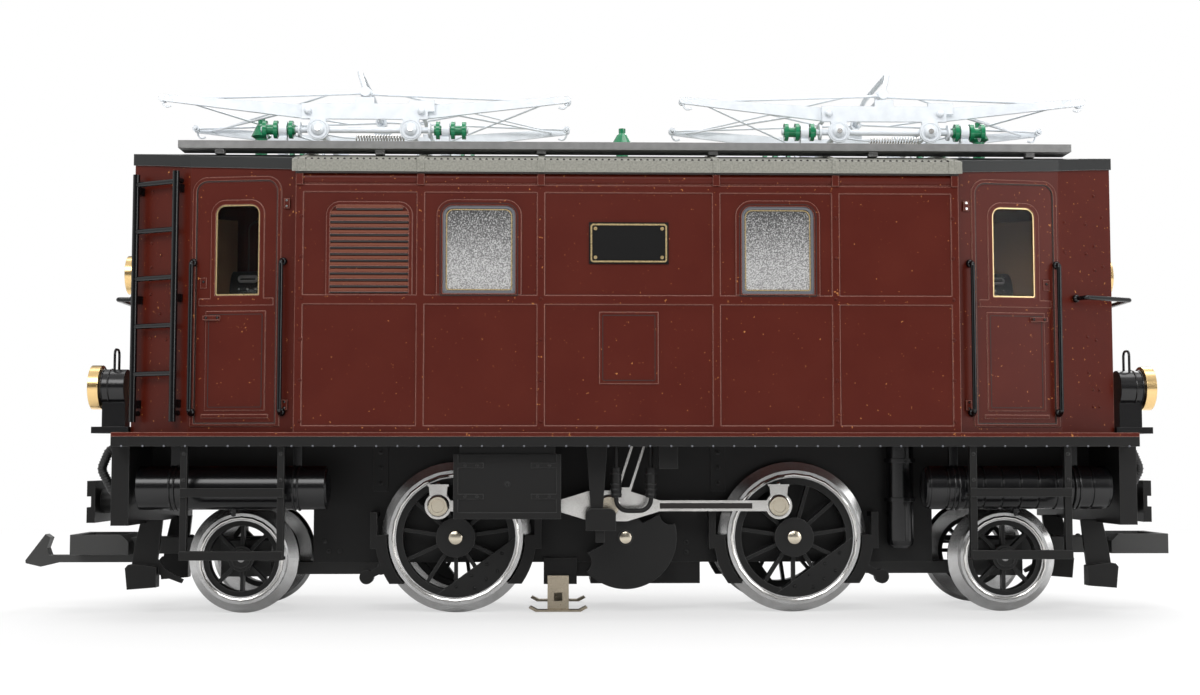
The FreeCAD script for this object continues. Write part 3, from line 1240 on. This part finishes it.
def upper_frame(x, end):
    """Two thin rods from the knees back to the middle, with crossed diagonals."""
    tip = Vector(x + end * s.knee_at, 0, s.knee_z)
    top = Vector(x, 0, s.bow_z)
    wide = float(s.panto_span - s.side_gap - s.arm_thick) - 2.0 - (1.6 if end > 0 else 0.0)
    play = s.pivot_play if end > 0 else s.pin_gap
    parts = []
    for side in SIDES:
        shift = Y * (side * wide)
        y = (side * (wide - 0.7), side * (wide + 0.7))
        parts.append(strut(tip + shift, top + shift, s.rod_wire))
        parts.append(bar("Y", (tip.x, tip.z), s.tube + 1.4, y))
        parts.append(bar("Y", (top.x, top.z), s.tube + play * 2 + 1.2, y))
    ahead = (top - tip).normalize()
    length = top.distanceToPoint(tip)
    for side, size in ((NEAR, s.rod_wire * 0.8), (FAR, s.rod_wire * 0.7)):
        parts.append(strut(tip + ahead * (length * 0.16) + Y * (side * wide),
                           tip + ahead * (length * 0.82) - Y * (side * wide), size))
    bores = []
    for spot, room in ((tip, s.pin_gap), (top, play)):
        bores.append(bar("Y", (spot.x, spot.z), s.tube + room * 2, (-wide - 2.0, wide + 2.0)))
    return cut(fuse(parts), bores)


def bow(x, end):
    """The collector: a rounded hoop whose feet clasp the tube between the upper arms."""
    lean = end * float(s.bow_lean)
    foot, top = s.panto_span - s.bow_in, float(s.bow_half)
    spots = [Vector(x, -foot, s.bow_z), Vector(x + lean, -top, s.bow_top_z),
             Vector(x + lean, top, s.bow_top_z), Vector(x, foot, s.bow_z)]
    parts = [pipe(spots, s.bow_wire, s.bow_bend), bar("Y", (x, s.bow_z), s.tube, (-foot, foot))]
    for side in SIDES:
        parts.append(bar("Y", (x, s.bow_z), s.bow_wire * 2,
                         (side * (foot - s.bow_wire / 2 - 0.1), side * (foot + s.bow_wire / 2 + 0.1))))
    return fuse(parts)


def spring_disc(x, side):
    """A disc with a raised centre on the end of one shaft, outside the side plate."""
    y = [side * (s.panto_span + rise) for rise in (0.8, 1.8, 2.6, 3.2)]
    half = s.disc / 2
    return ring((x, s.disc_z), [(0, y[0]), (half, y[0]), (half, y[1]), (half * 0.62, y[1]),
                                (half * 0.5, y[2]), (half * 0.25, y[3]), (0, y[3])])


def clamp(x, side):
    """A foot on the roof with a ring round the middle of an insulator."""
    y, half = side * s.panto_span, s.clamp / 2
    low = roof_height(float(s.panto_span) + 2.4) - 1.5
    foot = box((x - half, x + half), (y - 2.4, y + 2.4), (low, s.disc_z - s.insulator_core / 2 - 1.4))
    stem = box((x - half, x + half), (y - 1.4, y + 1.4), (low + 1.0, s.disc_z))
    band = bar("X", (y, s.disc_z), s.insulator_core + 2.0, (x - half, x + half))
    bore = bar("X", (y, s.disc_z), s.insulator_core, (x - half - 1, x + half + 1))
    return cut(fuse([foot, stem, band]), [bore, under_camber(-s.seat, s.cab_end)])


def base(x):
    """Fixed side plates, shafts with discs and long tubes, and the insulators' clamps."""
    parts, clamps = [], []
    mid, half = s.arm_pivot_z, s.side_plate / 2
    for side in SIDES:
        y = (side * s.panto_span, side * (s.panto_span + s.arm_thick))
        left, right = x - s.arm_pivot_at - s.side_edge, x + s.arm_pivot_at + s.side_edge
        parts.append(box((left, right), y, (mid - half, mid + half)))
        parts.append(box((x - s.tab_half, x + s.tab_half), y, (mid, mid + half + s.tab_high)))
        parts.append(box((right - s.tab_half * 2, right + s.side_edge), y,
                         (mid, mid + half + s.tab_high / 2)))
        tube_y = side * s.panto_span
        for end in ENDS:
            spot, pivot = x + end * s.disc_at, x + end * s.arm_pivot_at
            wide, foot = s.leg_wide / 2, s.leg_foot / 2
            parts.append(prism("Y", [(spot - wide, mid), (spot + wide, mid), (spot + foot, s.disc_z),
                                     (spot - foot, s.disc_z)], y))
            parts.append(spring_disc(spot, side))
            parts.append(bar("Y", (pivot, mid), s.pivot_head, (y[0] + side, y[1] + side)))
            collar = x + end * s.collar_at
            parts.append(bar("X", (tube_y, s.disc_z), s.collar, (collar - 0.4, collar + 0.4)))
            clamps.append(clamp(x + end * s.insulator_at, side))
        reach = s.insulator_at + s.insulator_out + 0.6
        parts.append(bar("X", (tube_y, s.disc_z), s.tube * 1.8, (x - reach, x + reach)))
    for end in ENDS:
        spot = x + end * s.disc_at
        parts.append(bar("Y", (spot, s.disc_z), s.tube * 1.6, (-s.panto_span - 0.5, s.panto_span + 0.5)))
    return [fuse(parts)] + clamps


def insulators(x):
    """Green ribbed insulators threaded on the base tubes and held by the clamps."""
    parts = []
    for side in SIDES:
        y, z = side * s.panto_span, s.disc_z
        for end in ENDS:
            middle = x + end * s.insulator_at
            ends = (middle - end * s.insulator_in, middle + end * s.insulator_out)
            group = [bar("X", (y, z), s.insulator_core, ends)]
            for offset in SHEDS:
                spot = middle + end * offset
                group.append(bar("X", (y, z), s.insulator, (spot - s.shed / 2, spot + s.shed / 2)))
            hole = bar("X", (y, z), s.tube * 1.8, (min(ends) - 1, max(ends) + 1))
            parts.append(cut(fuse(group), [hole]))
    return parts


def bell(x, high):
    """A bell insulator that stands on the roof's middle line."""
    foot, neck, skirt, knob = (size / 2 for size in (s.bell_foot, s.bell_neck, s.bell, s.bell_knob))
    body = upright((x, 0), s.crown - 1.0, [
        (0, 0), (foot, 0), (foot, 2.4), (neck, 3.4), (neck, high * 0.6), (skirt, high * 0.66),
        (skirt * 0.5, high * 0.9), (knob, high * 0.94), (knob, high + 1.0), (0, high + 1.0)])
    return cut(body, [under_camber(-s.seat, s.cab_end)])


for end, word in ((-1, "left"), (1, "right")):
    place_x = end * s.panto_at
    node("panto_" + word + "_base", base(place_x))
    for part_end, letter in ((-1, "a"), (1, "b")):
        node("panto_" + word + "_lower_" + letter, arm_frame(place_x, part_end))
        node("panto_" + word + "_upper_" + letter, upper_frame(place_x, part_end))
    node("panto_" + word + "_bow", bow(place_x, end))
posts = [bell(-s.bell_at, s.bell_high), bell(0, s.post_high), bell(s.bell_at, s.bell_high)]
node("insulators", insulators(-s.panto_at) + insulators(s.panto_at) + posts)


# ------------------------------------------------------------------ finish
doc.recompute()
for item in doc.Objects:
    if {"Invalid", "Error"} & set(item.State):
        raise SystemExit("failed: " + item.Name + " " + item.Label + " " + str(item.State))
os.makedirs("parts", exist_ok=True)
for item in nodes:
    if item.Shape.isNull() or not item.Shape.isValid():
        raise SystemExit("bad shape: " + item.Label)
    item.Shape.exportStep("parts/" + item.Label + ".step")
print(len(nodes), "nodes written")
